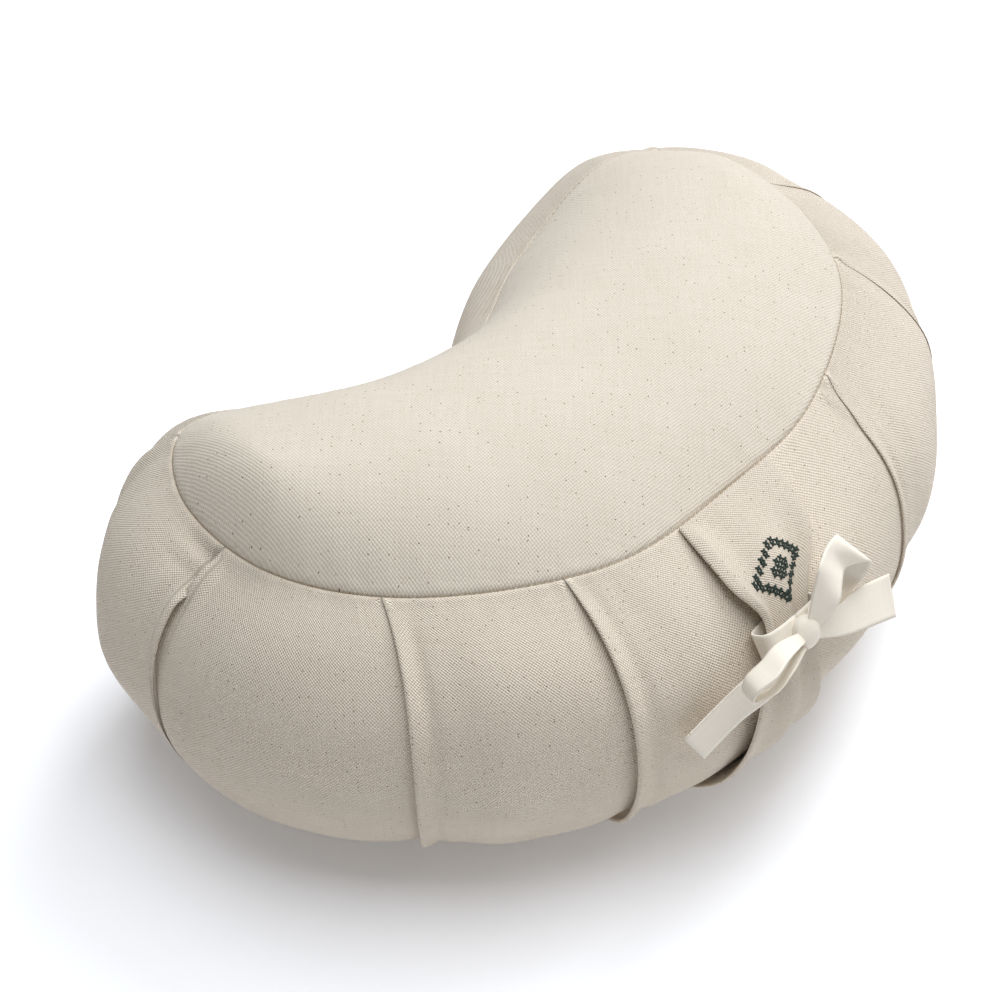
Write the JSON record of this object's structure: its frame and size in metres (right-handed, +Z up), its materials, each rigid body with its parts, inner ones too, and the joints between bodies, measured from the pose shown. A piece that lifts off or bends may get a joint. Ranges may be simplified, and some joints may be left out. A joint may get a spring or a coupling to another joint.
{
  "type": "meditation cushion",
  "caption": "Crescent meditation cushion with a crowned top panel, a pleated side band, and a carry strap gathered by a tied tape bow.",
  "frame": {"origin": "on the flat underside, under the middle of the crescent on its strap line", "axes": "+X along the crescent towards the right horn seen from the strap side, +Z up, the carry strap faces -Y"},
  "size_m": [0.4235, 0.2884, 0.18],
  "materials": {
    "cushion_canvas": "matte",
    "strap_canvas": "matte",
    "cotton_tape": "matte"
  },
  "bodies": {
    "root": {"cushion": "cushion_canvas", "carry_strap": "strap_canvas", "ribbon_bow": "cotton_tape"}
  },
  "joints": []
}
